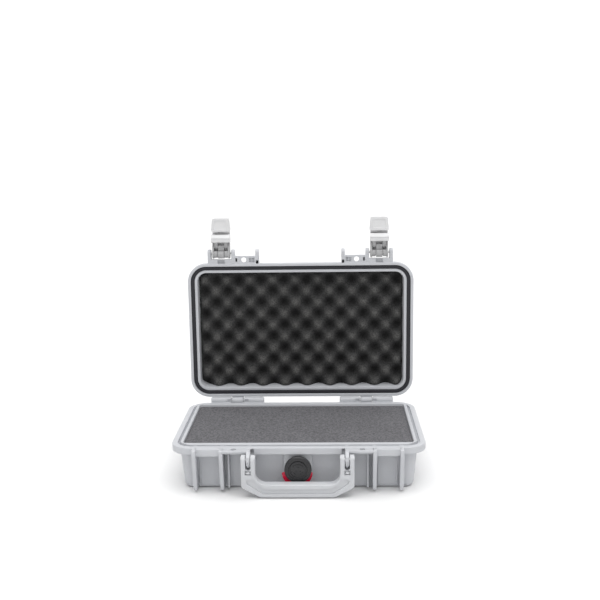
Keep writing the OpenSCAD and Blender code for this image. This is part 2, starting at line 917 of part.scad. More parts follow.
module valve_knob() {
    grips = 12;
    color(BLACK) at_valve()
    difference() {
        union() {
            rod_y(knob_y - knob_t + 1.2, knob_y, knob_r);
            rod_y(knob_y - knob_t, knob_y - 1, knob_r - 1.6);
        }
        // Dished face with a raised centre left standing
        difference() {
            rod_y(knob_y - knob_t - 1, knob_y - knob_t + 1.4, knob_r - 3.4);
            rod_y(knob_y - knob_t - 2, knob_y - knob_t + 3, knob_r - 6);
        }
        // Finger notches round the edge
        for (i = [0:grips - 1])
            rotate([0, i * 360 / grips, 0])
            translate([knob_r + 0.9, 0, 0])
            rod_y(knob_y - knob_t - 1, knob_y + 1, 1.5);
        rod_y(knob_y - 1.5, knob_y + 1, stem_r + running);
    }
}

base_shell();
base_foam_pad();
base_foam_block();
lid_shell();
lid_gasket();
lid_foam();
hinge_pin(LEFT);  // hinge_pin_left
hinge_pin(RIGHT);  // hinge_pin_right
handle();
handle_pin(LEFT);  // handle_pin_left
handle_pin(RIGHT);  // handle_pin_right
latch_lever(LEFT);  // latch_lever_left
latch_lever(RIGHT);  // latch_lever_right
latch_hook(LEFT);  // latch_hook_left
latch_hook(RIGHT);  // latch_hook_right
latch_pin(LEFT);  // latch_pin_left
latch_pin(RIGHT);  // latch_pin_right
hook_pin(LEFT);  // hook_pin_left
hook_pin(RIGHT);  // hook_pin_right
valve_washer();
valve_body();
valve_nut();
valve_collar();
valve_stem();
valve_o_ring();
valve_knob();
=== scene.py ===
"""A small hard carrying case with its lid open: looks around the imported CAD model."""
import json
from math import acos, cos, degrees, pi, radians, sin, sqrt

import bmesh
import bpy
from mathutils import Matrix, Vector, noise


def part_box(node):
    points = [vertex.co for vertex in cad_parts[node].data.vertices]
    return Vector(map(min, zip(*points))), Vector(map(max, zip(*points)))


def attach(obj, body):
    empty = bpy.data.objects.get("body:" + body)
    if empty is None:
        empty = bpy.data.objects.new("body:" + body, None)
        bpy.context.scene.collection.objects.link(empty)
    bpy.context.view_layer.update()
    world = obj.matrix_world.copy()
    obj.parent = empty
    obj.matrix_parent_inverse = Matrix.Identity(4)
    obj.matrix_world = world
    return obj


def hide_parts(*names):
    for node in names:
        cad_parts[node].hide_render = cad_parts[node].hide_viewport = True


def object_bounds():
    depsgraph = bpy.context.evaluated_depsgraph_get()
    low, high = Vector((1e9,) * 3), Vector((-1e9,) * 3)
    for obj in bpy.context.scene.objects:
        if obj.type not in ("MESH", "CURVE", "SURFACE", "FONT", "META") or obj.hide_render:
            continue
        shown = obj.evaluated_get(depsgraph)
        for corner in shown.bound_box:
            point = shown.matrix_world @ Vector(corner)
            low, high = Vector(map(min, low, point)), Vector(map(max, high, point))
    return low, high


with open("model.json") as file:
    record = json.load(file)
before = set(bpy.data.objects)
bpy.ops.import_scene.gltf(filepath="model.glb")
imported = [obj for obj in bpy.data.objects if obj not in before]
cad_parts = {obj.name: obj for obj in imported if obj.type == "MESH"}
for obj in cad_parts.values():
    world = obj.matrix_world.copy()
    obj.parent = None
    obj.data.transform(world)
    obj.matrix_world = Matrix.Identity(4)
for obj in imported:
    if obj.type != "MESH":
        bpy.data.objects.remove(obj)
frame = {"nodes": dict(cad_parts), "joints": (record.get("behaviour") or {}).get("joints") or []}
cad_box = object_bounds()

MM = 0.001
JOINTS = {j["name"]: j for j in frame["joints"]}


# ---------------------------------------------------------------- sizes, in millimetres

def node_box(node):
    low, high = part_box(node)
    return low / MM, high / MM


def joint_place(name):
    return [c / MM for c in JOINTS[name]["pos_m"]]


base_low, base_high = node_box("base_shell")
block_low, block_high = node_box("base_foam_block")
pad_low, pad_high = node_box("base_foam_pad")
lid_foam_low, lid_foam_high = node_box("lid_foam")
handle_low, handle_high = node_box("handle")
knob_low, knob_high = node_box("valve_knob")

_, hinge_y, hinge_z = joint_place("lid_hinge")
_, handle_y, handle_pivot_z = joint_place("handle_swing")
latch_x, latch_open_y, latch_open_z = joint_place("latch_lever_right_swing")
hook_open_z = joint_place("latch_hook_right_swing")[2]

HINGE_BACK = 5.1                           # of the hinge's axis behind the rim
HINGE_RISE = 1.3                           # and over the base's rim
CASE_W = base_high.x - base_low.x          # rim width
CASE_D = 2 * (hinge_y - HINGE_BACK)        # rim depth
CORNER_R = 24
BASE_H = hinge_z - HINGE_RISE              # height of the base's rim
RIM_H = 8.4                                # height of each rim band
RIM_GAP = 0.3                              # between the two rims when shut
OVERHANG = 9.4                             # of the rim band over the wall
WALL_LEAN = 3.8                            # of a wall over its height
WALL_T = 3.8
FLOOR_T = 3.6
EDGE_R = 6                                 # outer bottom and top edges
LID_H = 41
LIP_W = 3.8                                # outer lip of the lid's rim
SEAL_W = 4.8                               # seal channel
SEAL_DEPTH = 3.4
RING_DEPTH = 2                             # inner ring behind the lip's face
BASE_LIP_W = 6.6
GROOVE_W = 2
RIDGE_H = 1.5
RIB_T = 4.4                                # guard ribs
BAY_W = 26.2                               # between two guard ribs
PLATE_T = 3
PLATE_REACH = 9.9
PADLOCK_X = 72.6
PADLOCK_REACH = 4.6
PADLOCK_R = 3.3
ARM_X = 55.4                               # handle arms
ARM_W = 16
LUG_T = 4.5
LUG_DROP = 9                               # of a lug's tip below the handle's pivot
LUG_NOTCH_W = 3.4                          # notch in the rim band beside a lug
RAIL_X = 30                                # inner end of the lid's top rails
RAIL_LEN = 76
RAIL_W = 8
RAIL_Y = 49                                # of a rail's middle
PANEL_X = 75                               # half the width of the lid's sunk panel
PANEL_Y = 31                               # half its depth
STEP_REACH = 5.4                           # step between the lid's latch ribs
STEP_NOTCH_W = 9                           # blind notch in that step
APART = 0.3                                # between parts that pass each other
HINGE_X = 85
HINGE_LEN = 70
KNUCKLE_R = 4.6
LID_KNUCKLE = 15
KNUCKLE_SLOT = 0.6
POCKET_W = 6.5                             # hollow beside the lid's knuckle

FRONT = -CASE_D / 2
BACK = CASE_D / 2
BAND_Z = BASE_H - RIM_H
RIDGE_TOP = BASE_H + RIDGE_H
INNER_INSET = OVERHANG + WALL_T + 0.7
INNER_LEAN = WALL_LEAN * 0.8
FLOOR_FILLET = 1.5
CAVITY_C = INNER_INSET + INNER_LEAN + FLOOR_FILLET + 0.3   # corner centres of the base's inside
RIB_FACE = latch_x - BAY_W / 2 - RIB_T     # inner face of the inner guard rib
PLATE_ROOT = LIP_W - 0.6
LID_Z = BASE_H + RIM_GAP
LID_INNER_INSET = OVERHANG + WALL_T - 0.9
LATCH_Y = hinge_y - (latch_open_z - hinge_z)   # latch pivot with the lid shut
LATCH_Z = hinge_z + (latch_open_y - hinge_y)
HOOK_PIVOT = hook_open_z - latch_open_z    # lever pivot to hook pivot
HANDLE_T = handle_high.y - handle_low.y
BAR_LOW = handle_low.z
BAR_TOP = BAR_LOW + 15.4                   # of the grip
VALVE_Z = (knob_low.z + knob_high.z) / 2


def base_wall(z):
    """Inset of the base wall's outer face at height z."""
    return OVERHANG + WALL_LEAN * (BAND_Z - z) / BAND_Z


def lid_wall(q):
    """Inset of the lid wall's outer face at height q above the lid's lip."""
    return OVERHANG + WALL_LEAN * (q - RIM_H) / (LID_H - RIM_H)


def base_inner(z):
    return INNER_INSET + INNER_LEAN * (RIDGE_TOP - 0.8 - z) / (RIDGE_TOP - 0.8 - FLOOR_T - FLOOR_FILLET)


def lid_inner(q):
    return LID_INNER_INSET + INNER_LEAN * (q - RING_DEPTH) / (LID_H - RING_DEPTH)


# ---------------------------------------------------------------- mesh helpers

def arc(centre, r, a, b, n=6):
    """Points of an arc round centre, from angle a to angle b in degrees."""
    steps = [radians(a + (b - a) * i / n) for i in range(n + 1)]
    return [(centre[0] + r * cos(t), centre[1] + r * sin(t)) for t in steps]


def rounded(points, r, n=3):
    """The outline with each corner rounded: r is one radius or one for each point."""
    out = []
    count = len(points)
    radii = r if isinstance(r, (list, tuple)) else [r] * count
    for i, p in enumerate(points):
        before, after = Vector(points[i - 1]), Vector(points[(i + 1) % count])
        p = Vector(p)
        u, v = (before - p), (after - p)
        if radii[i] <= 0 or u.length < 1e-6 or v.length < 1e-6:
            out.append(tuple(p))
            continue
        half = u.angle(v) / 2
        if half > 1.5:
            out.append(tuple(p))
            continue
        cut = min(radii[i] / max(sin(half) / cos(half), 1e-6), 0.48 * u.length, 0.48 * v.length)
        start, end = p + u.normalized() * cut, p + v.normalized() * cut
        for k in range(n + 1):
            t = k / n
            q = start * (1 - t) ** 2 + p * 2 * t * (1 - t) + end * t ** 2
            out.append(tuple(q))
    return out


def new_piece(name, bm, material=None, smooth_deg=32):
    """A mesh object in metres from a bmesh in millimetres, shaded smooth below an angle."""
    bmesh.ops.recalc_face_normals(bm, faces=bm.faces)
    mesh = bpy.data.meshes.new(name)
    bm.to_mesh(mesh)
    bm.free()
    mesh.transform(Matrix.Scale(MM, 4))
    for p in mesh.polygons:
        p.use_smooth = True
    mesh.set_sharp_from_angle(angle=radians(smooth_deg))
    piece = bpy.data.objects.new(name, mesh)
    bpy.context.scene.collection.objects.link(piece)
    if material:
        mesh.materials.append(material)
    return piece


def joined(parts):
    """One bmesh from several."""
    whole = bmesh.new()
    for part in parts:
        mesh = bpy.data.meshes.new("part")
        part.to_mesh(mesh)
        part.free()
        whole.from_mesh(mesh)
        bpy.data.meshes.remove(mesh)
    return whole


def moved(bm, matrix):
    bm.transform(matrix)
    if matrix.determinant() < 0:
        bmesh.ops.reverse_faces(bm, faces=bm.faces)
    return bm


def inside(parts):
    """The shapes with their faces in the piece's second material: the darker latch copy, which paints shade
    on them.
    """
    for bm in parts:
        for face in bm.faces:
            face.material_index = 1
    return parts


def mirrored(bm):
    """The same shape on the other side of the case."""
    return moved(bm.copy(), Matrix.Scale(-1, 4, (1, 0, 0)))


def both_sides(parts):
    return parts + [mirrored(p) for p in parts]


def prism(outline, axis, a, b, bevel=0.5, segments=2, taper=0):
    """A solid with that outline from a to b along an axis, with its edges rounded over."""
    bm = bmesh.new()
    place = {"x": lambda p, t: (t, p[0], p[1]),
             "y": lambda p, t: (p[0], t, p[1]),
             "z": lambda p, t: (p[0], p[1], t)}[axis]
    middle = Vector((sum(p[0] for p in outline), sum(p[1] for p in outline))) / len(outline)
    small = [tuple(Vector(p) + (middle - Vector(p)) * taper) for p in outline]
    low = [bm.verts.new(place(p, a)) for p in outline]
    high = [bm.verts.new(place(p, b)) for p in small]
    bm.faces.new(low)
    bm.faces.new(list(reversed(high)))
    for i in range(len(outline)):
        j = (i + 1) % len(outline)
        bm.faces.new((low[j], low[i], high[i], high[j]))
    bmesh.ops.recalc_face_normals(bm, faces=bm.faces)
    if bevel > 0:
        edges = [e for e in bm.edges if e.calc_face_angle(0) > radians(28)]
        bmesh.ops.bevel(bm, geom=edges, offset=bevel, segments=segments, profile=0.5,
                        affect="EDGES", clamp_overlap=True)
    return bm


def box_piece(low, high, bevel=0.5, segments=2):
    outline = [(low[0], low[1]), (high[0], low[1]), (high[0], high[1]), (low[0], high[1])]
    return prism(outline, "z", low[2], high[2], bevel, segments)


def lathe(profile, n=64):
    """A closed solid of revolution round Z from (radius, height) points, first and last on
    the axis or joined up as a ring."""
    bm = bmesh.new()
    rings = []
    for r, z in profile:
        if r < 1e-6:
            rings.append([bm.verts.new((0, 0, z))])
        else:
            rings.append([bm.verts.new((r * cos(2 * pi * i / n), r * sin(2 * pi * i / n), z))
                          for i in range(n)])
    pairs = list(zip(rings, rings[1:]))
    if len(rings[0]) > 1:
        pairs.append((rings[-1], rings[0]))
    for low, high in pairs:
        for i in range(n):
            j = (i + 1) % n
            quad = [low[i % len(low)], low[j % len(low)], high[j % len(high)], high[i % len(high)]]
            corners = list(dict.fromkeys(quad))
            if len(corners) > 2:
                bm.faces.new(corners)
    return bm


def rod(axis, start, length, r, bevel=0.4, n=32):
    """A round bar with broken edges, from start along an axis."""
    bm = lathe([(0, 0), (r - bevel, 0), (r, bevel), (r, length - bevel),
                (r - bevel, length), (0, length)], n)
    turn = {"x": Matrix.Rotation(pi / 2, 4, "Y"),
            "y": Matrix.Rotation(-pi / 2, 4, "X"),
            "z": Matrix.Identity(4)}[axis]
    return moved(bm, Matrix.Translation(start) @ turn)


def outline_points(inset, z, n=14, c=CORNER_R):
    """The case's outline, moved in by inset, at height z; c is its corner centres' inset."""
    r = max(c - inset, 0.3)
    cx, cy = CASE_W / 2 - c, CASE_D / 2 - c
    points = []
    for k, (sx, sy) in enumerate(((1, 1), (-1, 1), (-1, -1), (1, -1))):
        for i in range(n + 1):
            t = radians(90 * k + 90 * i / n)
            points.append((sx * cx + r * cos(t), sy * cy + r * sin(t), z))
    return points


def sweep(profile, closed=False, n=14):
    """A band round the case from (inset, height) points; open ends are capped. A third value
    in a point is the inset of its corner centres."""
    bm = bmesh.new()
    loops = [[bm.verts.new(p) for p in outline_points(point[0], point[1], n, *point[2:])]
             for point in profile]
    pairs = list(zip(loops, loops[1:]))
    if closed:
        pairs.append((loops[-1], loops[0]))
    for low, high in pairs:
        for i in range(len(low)):
            j = (i + 1) % len(low)
            bm.faces.new((low[i], low[j], high[j], high[i]))
    if not closed:
        bm.faces.new(loops[0])
        bm.faces.new(list(reversed(loops[-1])))
    return bm


def helper_piece(bm):
    mesh = bpy.data.meshes.new("helper")
    bmesh.ops.recalc_face_normals(bm, faces=bm.faces)
    bm.to_mesh(mesh)
    bm.free()
    piece = bpy.data.objects.new("helper", mesh)
    bpy.context.scene.collection.objects.link(piece)
    return piece


def combined(bm, others, operation="DIFFERENCE"):
    """The shape with others cut out of it, or kept only where it meets them."""
    piece = helper_piece(bm)
    helpers = [helper_piece(other) for other in others]
    for helper in helpers:
        step = piece.modifiers.new("step", "BOOLEAN")
        step.operation = operation
        step.solver = "EXACT"
        step.object = helper
    graph = bpy.context.evaluated_depsgraph_get()
    mesh = bpy.data.meshes.new_from_object(piece.evaluated_get(graph))
    out = bmesh.new()
    out.from_mesh(mesh)
    bpy.data.meshes.remove(mesh)
    for used in [piece] + helpers:
        used_mesh = used.data
        bpy.data.objects.remove(used)
        bpy.data.meshes.remove(used_mesh)
    return out


OPEN_LID = (Matrix.Translation((0, hinge_y, hinge_z)) @ Matrix.Rotation(-pi / 2, 4, "X")
            @ Matrix.Translation((0, -hinge_y, -hinge_z)))


# ---------------------------------------------------------------- materials

def node_material(name):
    material = bpy.data.materials.new(name)
    material.use_nodes = True
    tree = material.node_tree
    return material, tree, tree.nodes["Principled BSDF"]


def noise_node(tree, scale, detail=3.0, rough=0.5, kind="ShaderNodeTexNoise"):
    place = tree.nodes.new("ShaderNodeTexCoord")
    texture = tree.nodes.new(kind)
    texture.inputs["Scale"].default_value = scale
    if kind == "ShaderNodeTexNoise":
        texture.inputs["Detail"].default_value = detail
        texture.inputs["Roughness"].default_value = rough
    tree.links.new(place.outputs["Object"], texture.inputs["Vector"])
    return texture


def ramp(tree, source, stops):
    node = tree.nodes.new("ShaderNodeValToRGB")
    elements = node.color_ramp.elements
    while len(elements) < len(stops):
        elements.new(0.5)
    for element, (at, colour) in zip(elements, stops):
        element.position = at
        element.color = (*colour, 1)
    tree.links.new(source, node.inputs["Fac"])
    return node


def grey(v, tint=(1, 1, 1)):
    return tuple(v * t for t in tint)


def plastic(name, colour, roughness=0.42, grain=0.12, grain_scale=2600, mottle=0.03):
    """Moulded plastic with a fine spark-eroded grain, slight flow mottling and scuffs."""
    material, tree, shader = node_material(name)
    broad = noise_node(tree, 22, 4)
    tones = ramp(tree, broad.outputs["Fac"],
                 [(0.3, grey(1 - mottle, colour)), (0.7, grey(1 + mottle, colour))])
    tree.links.new(tones.outputs["Color"], shader.inputs["Base Color"])
    fine = noise_node(tree, grain_scale, 2, 0.6)
    scuff = noise_node(tree, 140, 6, 0.7)
    gloss = ramp(tree, scuff.outputs["Fac"],
                 [(0.35, grey(roughness - 0.05)), (0.75, grey(roughness + 0.1))])
    tree.links.new(gloss.outputs["Color"], shader.inputs["Roughness"])
    bump = tree.nodes.new("ShaderNodeBump")
    bump.inputs["Strength"].default_value = grain
    bump.inputs["Distance"].default_value = 0.0002
    tree.links.new(fine.outputs["Fac"], bump.inputs["Height"])
    tree.links.new(bump.outputs["Normal"], shader.inputs["Normal"])
    return material


def toned_along(tree, colour, axis, start, end, stops):
    """The colour multiplied by a ramp of tones that runs along an axis, between two places
    given in metres."""
    place = tree.nodes.new("ShaderNodeTexCoord")
    parts = tree.nodes.new("ShaderNodeSeparateXYZ")
    tree.links.new(place.outputs["Object"], parts.inputs["Vector"])
    along = tree.nodes.new("ShaderNodeMapRange")
    along.inputs["From Min"].default_value = start
    along.inputs["From Max"].default_value = end
    tree.links.new(parts.outputs[axis], along.inputs["Value"])
    tones = ramp(tree, along.outputs["Result"], stops)
    shade = tree.nodes.new("ShaderNodeMixRGB")
    shade.blend_type = "MULTIPLY"
    shade.inputs["Fac"].default_value = 1
    tree.links.new(colour, shade.inputs["Color1"])
    tree.links.new(tones.outputs["Color"], shade.inputs["Color2"])
    return shade.outputs["Color"]


# Painted shade for the lid foam: its colour darkens from the peaks down into the valleys.
PAINTED_VALLEY_SHADE = [(0.0, (0.86, 0.85, 0.83)), (0.45, grey(0.46)), (1.0, grey(0.17))]


def foam(name, dark, light, cell_scale=900, depth=0.0006, valley=None):
    """Open-cell foam: pores, with lighter struts between them. valley gives the places along Y
    of its peaks and of its valleys; towards the valleys the colour is darkened as painted shade, where less
    light gets in."""
    material, tree, shader = node_material(name)
    cells = noise_node(tree, cell_scale, kind="ShaderNodeTexVoronoi")
    specks = noise_node(tree, cell_scale * 0.6, 3, 0.7)
    cloud = noise_node(tree, 30, 3)
    mix = tree.nodes.new("ShaderNodeMath")
    mix.operation = "MULTIPLY_ADD"
    tree.links.new(cells.outputs["Distance"], mix.inputs[0])
    mix.inputs[1].default_value = 0.55
    tree.links.new(specks.outputs["Fac"], mix.inputs[2])
    tones = ramp(tree, mix.outputs["Value"], [(0.35, dark), (0.95, light)])
    shade = tree.nodes.new("ShaderNodeMixRGB")
    shade.blend_type = "MULTIPLY"
    shade.inputs["Fac"].default_value = 0.35
    tree.links.new(tones.outputs["Color"], shade.inputs["Color1"])
    tree.links.new(ramp(tree, cloud.outputs["Fac"],
                        [(0.3, grey(0.8)), (0.7, grey(1.0))]).outputs["Color"],
                   shade.inputs["Color2"])
    colour = shade.outputs["Color"]
    # painted shade: the colour darkens along Y towards the valleys
    if valley:
        colour = toned_along(tree, colour, "Y", *valley, PAINTED_VALLEY_SHADE)
    tree.links.new(colour, shader.inputs["Base Color"])
    shader.inputs["Roughness"].default_value = 0.95
    shader.inputs["Specular IOR Level"].default_value = 0.15
    bump = tree.nodes.new("ShaderNodeBump")
    bump.inputs["Strength"].default_value = 0.6
    bump.inputs["Distance"].default_value = depth
    tree.links.new(mix.outputs["Value"], bump.inputs["Height"])
    tree.links.new(bump.outputs["Normal"], shader.inputs["Normal"])
    return material


def rubber(name, colour):
    material, tree, shader = node_material(name)
    fine = noise_node(tree, 1400, 3, 0.6)
    tones = ramp(tree, fine.outputs["Fac"], [(0.3, grey(0.8, colour)), (0.8, grey(1.25, colour))])
    tree.links.new(tones.outputs["Color"], shader.inputs["Base Color"])
    shader.inputs["Roughness"].default_value = 0.6
    bump = tree.nodes.new("ShaderNodeBump")
    bump.inputs["Strength"].default_value = 0.15
    bump.inputs["Distance"].default_value = 0.0002
    tree.links.new(fine.outputs["Fac"], bump.inputs["Height"])
    tree.links.new(bump.outputs["Normal"], shader.inputs["Normal"])
    return material


def steel(name):
    material, tree, shader = node_material(name)
    brushed = noise_node(tree, 900, 4, 0.7)
    shader.inputs["Metallic"].default_value = 1
    tones = ramp(tree, brushed.outputs["Fac"], [(0.3, grey(0.42)), (0.7, grey(0.62))])
    tree.links.new(tones.outputs["Color"], shader.inputs["Base Color"])
    gloss = ramp(tree, brushed.outputs["Fac"], [(0.3, grey(0.25)), (0.7, grey(0.42))])
    tree.links.new(gloss.outputs["Color"], shader.inputs["Roughness"])
    return material


SHELL = plastic("silver grey polypropylene", (0.505, 0.515, 0.54), 0.4)
HANDLE = plastic("handle polypropylene", (0.53, 0.54, 0.56), 0.38)
# The latch's two colours are painted light and shade: the lighter copy is raised above the shell's tone as
# painted light on the lever and hook, and the darker copy paints shade on the cheeks, drum, block and hook
# arms.
LATCH_PAINTED_LIGHT = plastic("latch light-painted plastic", (0.66, 0.66, 0.665), 0.36)
LATCH_PAINTED_SHADE = plastic("latch shade-painted plastic", (0.41, 0.41, 0.415), 0.5)
KNOB = plastic("black valve plastic", (0.02, 0.02, 0.022), 0.3, 0.25)
COLLAR = plastic("red valve plastic", (0.62, 0.012, 0.05), 0.1, 0.02)
BASE_FOAM = foam("dark grey foam", (0.055, 0.055, 0.058), (0.165, 0.163, 0.173), 520)
EGG_DEPTH = 13      # of the lid foam's valleys
# The lid foam gets painted shade, darker towards its valleys.
LID_FOAM = foam("charcoal foam", grey(0.035), grey(0.125), 700,
                valley=(lid_foam_low.y * MM, (lid_foam_low.y + EGG_DEPTH) * MM))
SEAL = rubber("seal rubber", (0.012, 0.012, 0.017))
STEEL = steel("pin steel")


# ---------------------------------------------------------------- base shell

def base_section():
    """From the middle of the underside, up the outside, over the rim and down the inside."""
    bottom = base_wall(0)
    underside = [(bottom + EDGE_R + 4, 0)]
    wall = arc((bottom + EDGE_R, EDGE_R), EDGE_R, 270, 180, 8)
    rim = rounded([(OVERHANG + 0.5, BAND_Z - 6), (OVERHANG, BAND_Z - 0.2), (0, BAND_Z),
                   (0, BASE_H), (BASE_LIP_W, BASE_H), (BASE_LIP_W + 0.2, BASE_H - 2.4),
                   (BASE_LIP_W + GROOVE_W, BASE_H - 2.4), (BASE_LIP_W + GROOVE_W + 0.3, RIDGE_TOP)],
                  [0, 1.2, 1.3, 1.4, 0.5, 0.3, 0.3, 0.9], 4)
    inside = rounded([(INNER_INSET - 3, RIDGE_TOP), (INNER_INSET, RIDGE_TOP),
                      (base_inner(BASE_H - 8), BASE_H - 8)], [0, 0.9, 0], 4)
    inside += [(INNER_INSET + INNER_LEAN, FLOOR_T + FLOOR_FILLET),
               (INNER_INSET + INNER_LEAN + FLOOR_FILLET, FLOOR_T)]
    return underside + wall + rim + [(i, z, CAVITY_C) for i, z in inside]


def stacking_slots():
    """The four long slots in the underside that another case's lid rails drop into."""
    play = 0.5
    depth = 2.8
    half = RAIL_W / 2 + play
    return [box_piece((x - play, y - half, -1), (x + RAIL_LEN + play, y + half, depth), 0.4)
            for x in (RAIL_X, -RAIL_X - RAIL_LEN) for y in (-RAIL_Y, RAIL_Y)]


def guard_rib(x0):
    outline = [(FRONT + base_wall(BASE_H) + 1.5, BASE_H - 0.4), (FRONT - PLATE_REACH, BASE_H - 0.4),
               (FRONT - PLATE_REACH, BAND_Z - 1), (FRONT - 3, EDGE_R), (FRONT - 1, 3),
               (FRONT + base_wall(3) + 1.5, 3)]
    return prism(rounded(outline, [0, 1.6, 6, 3, 2, 0]), "x", x0, x0 + RIB_T, 0.9, 3)


def catch_ledge():
    """What the latch hook pulls on, and the framed panel of the bay under it."""
    bite = 1.5
    catch_z = LATCH_Z - HOOK_BAR_FROM + APART
    catch_y = LATCH_Y + HOOK_REACH - bite
    outline = [(FRONT + OVERHANG + 1.5, catch_z), (catch_y, catch_z), (catch_y, BASE_H - 0.4),
               (FRONT + 4, BASE_H - 0.4), (FRONT + 4, BAND_Z + 2), (FRONT + OVERHANG + 1.5, BAND_Z + 2)]
    ledge = prism(rounded(outline, [0, 0.9, 1.2, 0, 0, 0]), "x",
                  latch_x - BAY_W / 2 - 1, latch_x + BAY_W / 2 + 1, 0)
    y = FRONT + base_wall(20)
    bar_w = 1.4
    low, top = 6, 38
    half = BAY_W / 2 - 1.6
    panel_frame = [box_piece((latch_x + x0, y - 1.1, z0), (latch_x + x1, y + 3, top), 0.4)
                   for x0, x1, z0 in ((-half, -half + bar_w, low), (half - bar_w, half, low),
                                      (-half, half, top - bar_w))]
    return [ledge] + panel_frame


def padlock_plate(z):
    """A padlock plate with its hole, with its underside at z."""
    plate = box_piece((ARM_X - LUG_T / 2, FRONT - PLATE_REACH, z),
                      (RIB_FACE + 1.5, FRONT + PLATE_ROOT, z + PLATE_T), 0.6, 3)
    hole = rod("z", (PADLOCK_X, FRONT - PADLOCK_REACH, z - 4), PLATE_T + 8, PADLOCK_R, 0, 48)
    return combined(plate, [hole])


def handle_lug():
    """The lug in an arm's fork, with a tip that narrows to a point."""
    nose = HANDLE_T / 2 - 1
    tip = handle_pivot_z - LUG_DROP
    outline = ([(FRONT + base_wall(BAND_Z) + 1.5, BASE_H - 0.5),
                (FRONT - PLATE_REACH + 1, BASE_H - 0.5),
                (handle_y - nose + 0.4, handle_pivot_z + 4)]
               + arc((handle_y, handle_pivot_z), nose, 170, 215, 5)
               + [(handle_y - 3.4, tip + 3), (handle_y - 2.6, tip + 1.4), (handle_y - 1, tip),
                  (handle_y + 6, tip + 0.8), (FRONT + base_wall(22) + 1.5, 22)])
    lug = prism(outline, "x", ARM_X - LUG_T / 2, ARM_X + LUG_T / 2, 0.7, 3)
    for v in lug.verts:
        if v.co.z < tip + 4 and v.co.y < handle_y + 4:
            narrow = 0.3 + 0.7 * max(v.co.z - tip, 0) / 4
            v.co.x = ARM_X + (v.co.x - ARM_X) * narrow
    return lug


def thin_rib():
    outline = [(FRONT + base_wall(BASE_H) + 1.5, BASE_H - 2), (FRONT + 1, BASE_H - 2),
               (FRONT + 4, 4), (FRONT + base_wall(4) + 1.5, 4)]
    return prism(outline, "x", PADLOCK_X + 5.5, PADLOCK_X + 7.5, 0.4)


def knuckle(x0, x1, arm):
    """A hinge knuckle with the arm that roots it."""
    return [prism(arm, "x", x0, x1, 1.0, 3),
            rod("x", (x0, hinge_y, hinge_z), x1 - x0, KNUCKLE_R, 1.0, 48)]


def base_knuckles():
    arm = [(BACK - 5, BAND_Z + 1.5), (hinge_y - 2, BAND_Z + 2.5),
           (hinge_y + KNUCKLE_R * 0.7, hinge_z - KNUCKLE_R * 0.6), (hinge_y, hinge_z - 0.6),
           (BACK - 4, BASE_H - 0.5)]
    gap = LID_KNUCKLE / 2 + KNUCKLE_SLOT
    parts = []
    for x0, x1, pocket in ((HINGE_X - HINGE_LEN / 2, HINGE_X - gap, HINGE_X - gap - POCKET_W),
                           (HINGE_X + gap, HINGE_X + HINGE_LEN / 2, HINGE_X + gap)):
        root, barrel = knuckle(x0, x1, arm)
        hollow = box_piece((pocket, hinge_y - KNUCKLE_R - 1, hinge_z - 1.2),
                           (pocket + POCKET_W - 1.2, hinge_y - 2.4, hinge_z + 2.6), 0)
        parts += [root, combined(barrel, [hollow])]
    return parts


def valve_pad():
    half_w = 16
    y = FRONT + base_wall(VALVE_Z) - 6
    return box_piece((-half_w, y, 8), (half_w, y + 9, BAND_Z + 1), 1.0, 3)


def make_base_shell():
    notch = box_piece((ARM_X - LUG_T / 2 - LUG_NOTCH_W, FRONT - 1, BAND_Z - 1),
                      (ARM_X - LUG_T / 2, FRONT + 3, BASE_H - 1.6), 0)
    shell = combined(sweep(base_section()), stacking_slots() + both_sides([notch]))
    side = [guard_rib(latch_x + BAY_W / 2), guard_rib(RIB_FACE), handle_lug(), thin_rib(),
            padlock_plate(BASE_H - 0.4 - PLATE_T)] + catch_ledge() + base_knuckles()
    piece = new_piece("base_shell_visual", joined([shell] + both_sides(side) + [valve_pad()]), SHELL)
    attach(piece, "base")
    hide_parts("base_shell")


# ---------------------------------------------------------------- lid shell

def lid_section():
    top = lid_wall(LID_H)
    inner_top = lid_inner(LID_H - FLOOR_T)
    inside = [(inner_top + 3, LID_H - FLOOR_T), (inner_top + FLOOR_FILLET, LID_H - FLOOR_T),
              (inner_top, LID_H - FLOOR_T - FLOOR_FILLET)]
    rim = rounded([(lid_inner(RING_DEPTH + 6), RING_DEPTH + 6), (LID_INNER_INSET, RING_DEPTH),
                   (LIP_W + SEAL_W, RING_DEPTH), (LIP_W + SEAL_W, SEAL_DEPTH), (LIP_W, SEAL_DEPTH),
                   (LIP_W, 0), (0, 0), (0, RIM_H), (OVERHANG, RIM_H + 0.2), (OVERHANG + 0.3, RIM_H + 6)],
                  [0, 0.7, 0.7, 0, 0, 0.5, 1.3, 1.4, 1.2, 0], 4)
    outside = arc((top + EDGE_R, LID_H - EDGE_R), EDGE_R, 180, 90, 8)
    return [(i, q + LID_Z) for i, q in inside + rim + outside + [(top + EDGE_R + 4, LID_H)]]


def lid_rib(x0, t):
    nose = LATCH_Z - BASE_H - 0.6
    root_z = LID_Z + RIM_H - 2
    outline = (arc((LATCH_Y, LATCH_Z), nose, 270, 120, 14)
               + [(FRONT - 2, LID_Z + RIM_H + 4),
                  (FRONT + lid_wall(RIM_H + 8) + 1.5, LID_Z + RIM_H + 8),
                  (FRONT + OVERHANG + 1.5, root_z), (FRONT + PLATE_ROOT, root_z),
                  (FRONT + PLATE_ROOT, LID_Z + 0.4), (FRONT - 4, LID_Z + 0.4)])
    return prism(outline, "x", x0, x0 + t, 0.8, 3)


